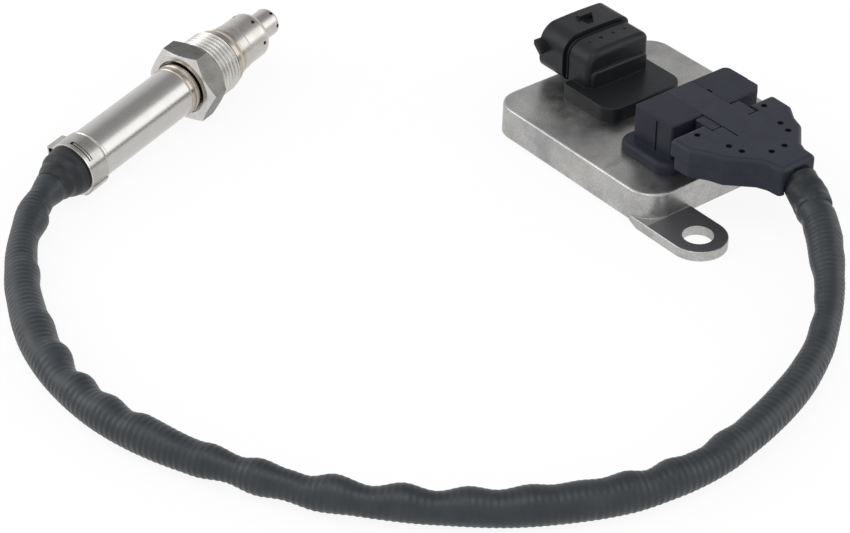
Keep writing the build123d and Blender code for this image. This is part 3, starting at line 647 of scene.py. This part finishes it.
def build_vents():
    verts = []
    faces = []
    around = vent_points
    centres = [(x, side * reach + plug_middle) for x, reach in vent_places for side in (-1, 1)]
    for x, y in centres:
        for level, (radius, z) in enumerate(vent_profile):
            start = len(verts)
            for j in range(around):
                angle = 2 * math.pi * j / around
                spot = (x + radius * math.cos(angle), y + radius * math.sin(angle), z)
                verts.append([c * MM for c in spot])
            if level:
                for j in range(around):
                    k = (j + 1) % around
                    faces.append((start - around + j, start - around + k, start + k, start + j))
        faces.append(tuple(range(start, start + around)))
    obj = add_mesh("plug_vent_painted_shade", verts, faces, seal_rubber_and_painted_shade)
    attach(obj, "sensor")


build_vents()


# Grommet bell: stations in millimetres, and the radius at shares of its length
bell_lip = -52.4
bell_mouth = 4.6
bell_radii = [(0, 7.6), (0.25, 7.2), (0.62, 6.0), (1, 4.95)]
bell_crease = 0.5
# Length of its collar inside the clamp
bell_collar = 1.9
# Its creases fade out over these lengths at the clamp and at the mouth
bell_fade = (2.0, 1.5)
bell_rings = 60
bell_points = 80


def build_bell():
    """The grommet's bell: it leaves the clamp along the probe and narrows to the cable."""
    last = np.array(route_points[-1])
    arrive = last - np.array(route_points[-2])
    arrive = arrive / np.linalg.norm(arrive)
    axis = np.array(probe_axis[:])
    lip = np.array((probe_origin / MM)[:]) + bell_lip * axis
    mouth = last - bell_mouth * arrive
    reach = np.linalg.norm(lip - mouth)
    part = np.linspace(0, 1, bell_rings)[:, None]
    square = part * part
    cube = square * part
    centres = (
        (2 * cube - 3 * square + 1) * lip
        - (cube - 2 * square + part) * reach * axis
        + (3 * square - 2 * cube) * mouth
        - (cube - square) * reach * arrive
    )
    axes = unit(np.gradient(centres, axis=0))
    angle = np.linspace(0, 2 * math.pi, bell_points, endpoint=False)
    distance = part * reach
    begin = np.clip(distance / bell_fade[0], 0, 1)
    end = np.clip((reach - distance) / bell_fade[1], 0, 1)
    radii = smooth_between(bell_radii, part[:, 0])[:, None]
    radii = radii + bell_crease * begin * end * creases(angle[None, :], distance)
    spots = rings(centres, axes, radii)
    # A short collar inside the clamp
    inside = spots[:1] + np.array((probe_axis * (bell_collar * MM))[:])
    obj = add_tube("cable_grommet_creased", np.concatenate((inside, spots)), dark_rubber)
    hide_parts("cable_grommet")
    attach(obj, "sensor")


build_bell()


# Union nut: the solid's hexagon with a real thread in front of it
thread_pitch = 1.5
thread_depth = 0.92
thread_major = 10.0
thread_from = 6.9
thread_to = 16.3
thread_turn_points = 120
thread_steps = 14
neck_radius = 9.0
nut_bore = 7.5
thread_end_chamfer = 0.8
# Width of the thread's root and of its flanks as shares of half a pitch
root_share = 0.08
flank_share = 0.8
# The thread rises from the neck over this length
thread_run_in = 0.9
# A face is one of the hexagon's flats if its middle is farther out than this radius and its
# normal leans along the axis by less than this cosine
flat_radius = 10.0
flat_cosine = 0.1


def thread_radius(station, angle):
    """Radius of the thread's surface, faded out at both ends."""
    phase = (station / thread_pitch - angle / (2 * math.pi)) % 1.0
    tooth = 1 - abs(2 * phase - 1)
    tooth = min(1.0, max(0.0, (tooth - root_share) / flank_share))
    radius = thread_major - thread_depth * (1 - tooth)
    radius = min(radius, thread_major - thread_end_chamfer + thread_to - station)
    rise = (station - thread_from) / thread_run_in
    return neck_radius + (radius - neck_radius) * min(1.0, max(0.0, rise))


def build_nut():
    mesh = nodes["union_nut"].data.copy()
    mesh.name = "union_nut_threaded"
    mesh.materials.clear()
    mesh.materials.append(painted_lit_steel)
    mesh.materials.append(painted_shaded_steel)
    cut = probe_origin + probe_axis * (thread_from * MM)
    work = bmesh.new()
    work.from_mesh(mesh)
    everything = work.verts[:] + work.edges[:] + work.faces[:]
    bmesh.ops.bisect_plane(
        work, geom=everything, plane_co=cut, plane_no=probe_axis, clear_outer=True
    )
    # Painted shade: the hexagon's flats take the dark copy of the steel, all other faces the bright
    # copy
    for face in work.faces:
        middle = (face.calc_center_median() - probe_origin) / MM
        radial = middle - probe_axis * middle.dot(probe_axis)
        flat = abs(face.normal.dot(probe_axis)) < flat_cosine and radial.length > flat_radius
        face.material_index = 1 if flat else 0
    loops = int((thread_to - thread_from) / thread_pitch * thread_steps)
    previous = None
    for i in range(loops + 1):
        station = thread_from + (thread_to - thread_from) * i / loops
        ring = []
        for j in range(thread_turn_points):
            angle = 2 * math.pi * j / thread_turn_points
            ring.append(work.verts.new(probe_point(thread_radius(station, angle), angle, station)))
        if previous:
            for j in range(thread_turn_points):
                k = (j + 1) % thread_turn_points
                face = work.faces.new((previous[j], previous[k], ring[k], ring[j]))
                face.smooth = True
        previous = ring
    # Front face and the bore wall behind it
    inner = []
    deep = []
    for j in range(thread_turn_points):
        angle = 2 * math.pi * j / thread_turn_points
        inner.append(work.verts.new(probe_point(nut_bore, angle, thread_to)))
        deep.append(work.verts.new(probe_point(nut_bore, angle, thread_from)))
    for j in range(thread_turn_points):
        k = (j + 1) % thread_turn_points
        work.faces.new((previous[j], previous[k], inner[k], inner[j]))
        work.faces.new((inner[j], inner[k], deep[k], deep[j])).smooth = True
    work.to_mesh(mesh)
    work.free()
    obj = add_object("union_nut_threaded", mesh)
    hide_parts("union_nut")
    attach(obj, "nut")


build_nut()


# Floor and light, in metres and watts
floor_half = 3.0
floor_drop = 0.0001
# Share of plain white in the floor as the camera and glossy metal see it
floor_white = 0.9
# The tent's dark patch: its direction, and the tent's tone at cosines from that direction
patch_direction = (-0.249, 0.563, 0.788)
patch_stops = [(0.0, 1.0), (0.55, 1.0), (0.8, 0.82), (0.9, 0.62), (0.97, 0.42)]


def background_rays(tree):
    """1 for camera, glossy and transmission rays, which all show the white background."""
    path = tree.nodes.new("ShaderNodeLightPath")
    total = path.outputs["Is Camera Ray"]
    for kind in ("Is Glossy Ray", "Is Transmission Ray"):
        either = tree.nodes.new("ShaderNodeMath")
        either.operation = "MAXIMUM"
        tree.links.new(total, either.inputs[0])
        tree.links.new(path.outputs[kind], either.inputs[1])
        total = either.outputs["Value"]
    return total


def build_floor():
    half = floor_half
    corners = [(-half, -half, 0), (half, -half, 0), (half, half, 0), (-half, half, 0)]
    material = bpy.data.materials.new("floor")
    material.use_nodes = True
    tree = material.node_tree
    tree.nodes.remove(tree.nodes["Principled BSDF"])
    matte = tree.nodes.new("ShaderNodeBsdfDiffuse")
    matte.inputs["Color"].default_value = (0.86, 0.86, 0.86, 1)
    glow = tree.nodes.new("ShaderNodeEmission")
    glow.inputs["Color"].default_value = (1, 1, 1, 1)
    glow.inputs["Strength"].default_value = 1.0
    shown = background_rays(tree)
    share = tree.nodes.new("ShaderNodeMath")
    share.operation = "MULTIPLY"
    share.inputs[1].default_value = floor_white
    blend = tree.nodes.new("ShaderNodeMixShader")
    tree.links.new(shown, share.inputs[0])
    tree.links.new(share.outputs["Value"], blend.inputs["Fac"])
    tree.links.new(matte.outputs["BSDF"], blend.inputs[1])
    tree.links.new(glow.outputs["Emission"], blend.inputs[2])
    tree.links.new(blend.outputs["Shader"], tree.nodes["Material Output"].inputs["Surface"])
    obj = add_mesh("floor", corners, [(0, 1, 2, 3)], material)
    obj.location = (0, 0, -floor_drop)


def build_world():
    """A white tent with a dark patch overhead, on the far side."""
    world = bpy.data.worlds.new("studio")
    scene.world = world
    world.use_nodes = True
    tree = world.node_tree
    back = tree.nodes["Background"]
    back.inputs["Strength"].default_value = 1.0
    place = tree.nodes.new("ShaderNodeTexCoord")
    near = tree.nodes.new("ShaderNodeVectorMath")
    near.operation = "DOT_PRODUCT"
    near.inputs[1].default_value = patch_direction
    ramp = tree.nodes.new("ShaderNodeValToRGB")
    while len(ramp.color_ramp.elements) < len(patch_stops):
        ramp.color_ramp.elements.new(0.5)
    for element, (position, value) in zip(ramp.color_ramp.elements, patch_stops):
        element.position = position
        element.color = (value, value, value * 1.01, 1)
    tree.links.new(place.outputs["Generated"], near.inputs[0])
    tree.links.new(near.outputs["Value"], ramp.inputs["Fac"])
    tree.links.new(ramp.outputs["Color"], back.inputs["Color"])


def softbox(name, spot, target, width, height, watts):
    """A rectangular lamp at a spot, turned to a target."""
    data = bpy.data.lights.new(name, "AREA")
    data.shape = "RECTANGLE"
    data.size = width
    data.size_y = height
    data.energy = watts
    obj = bpy.data.objects.new(name, data)
    scene.collection.objects.link(obj)
    obj.location = spot
    aim = Vector(target) - Vector(spot)
    obj.rotation_euler = aim.to_track_quat("-Z", "Y").to_euler()


part_middle = (0.0, -0.09, 0.0)
build_floor()
build_world()
softbox("top_box", (0.2, -0.4, 0.9), part_middle, 0.6, 0.5, 1.8)
softbox("left_box", (-0.6, -0.65, 0.48), part_middle, 0.6, 0.6, 1.8)
softbox("far_box", (0.5, 0.62, 0.42), part_middle, 0.9, 0.6, 1.7)
